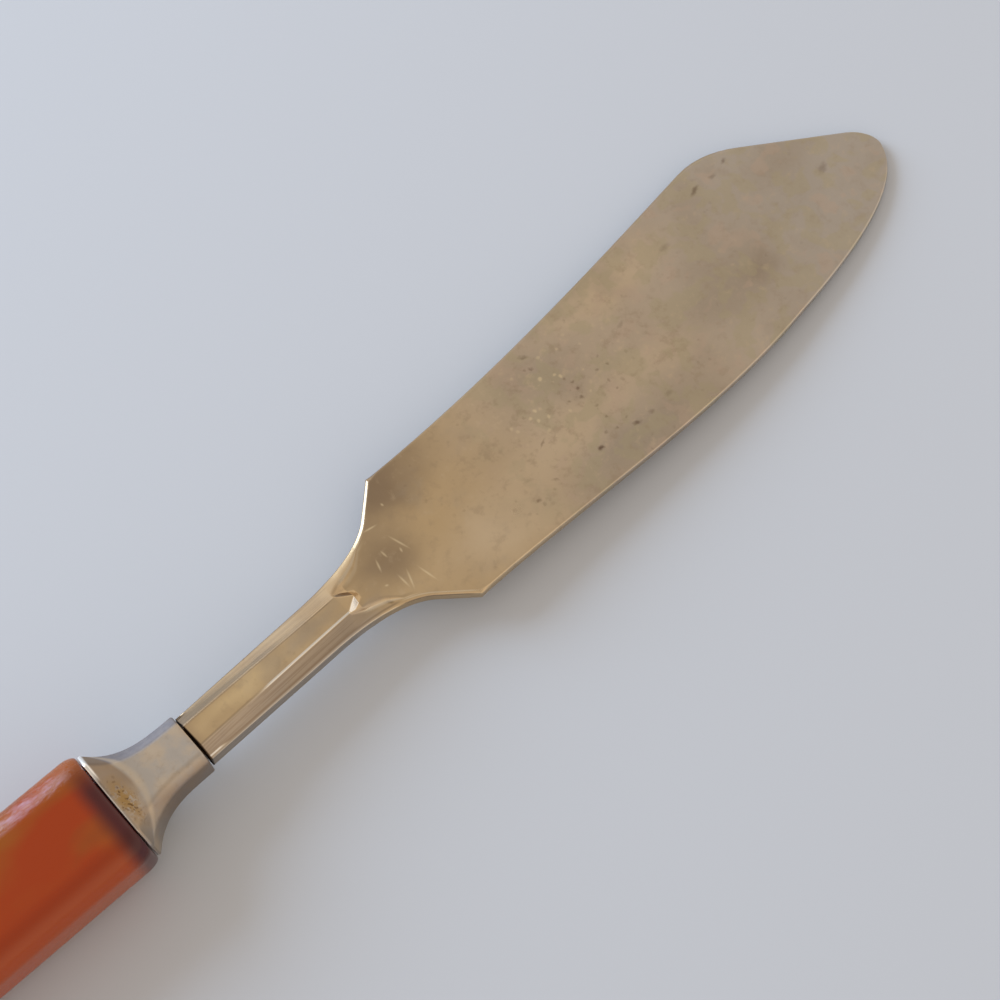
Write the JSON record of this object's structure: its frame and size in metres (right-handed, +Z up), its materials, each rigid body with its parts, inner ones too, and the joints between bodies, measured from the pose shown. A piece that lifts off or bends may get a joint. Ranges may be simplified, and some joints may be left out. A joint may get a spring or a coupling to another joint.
{
  "type": "butter knife",
  "caption": "Butter knife with a flat clipped blade, a bevelled neck, a bell-shaped ferrule and a cast bar handle that lies flat on the table.",
  "frame": {"origin": "middle of the handle's flat underside", "axes": "+X along the handle towards the blade, +Y towards the blade's spine, +Z up from the table"},
  "size_m": [0.1701, 0.0219, 0.0092],
  "materials": {
    "blade_plate": "tarnished silver plate, satin",
    "ferrule_plate": "tarnished silver plate, satin",
    "cast_phenolic": "polished, marbled",
    "cutler_cement": "rough"
  },
  "bodies": {
    "root": {"blade": "blade_plate", "ferrule": "ferrule_plate", "handle": "cast_phenolic", "cement": "cutler_cement"}
  },
  "joints": []
}
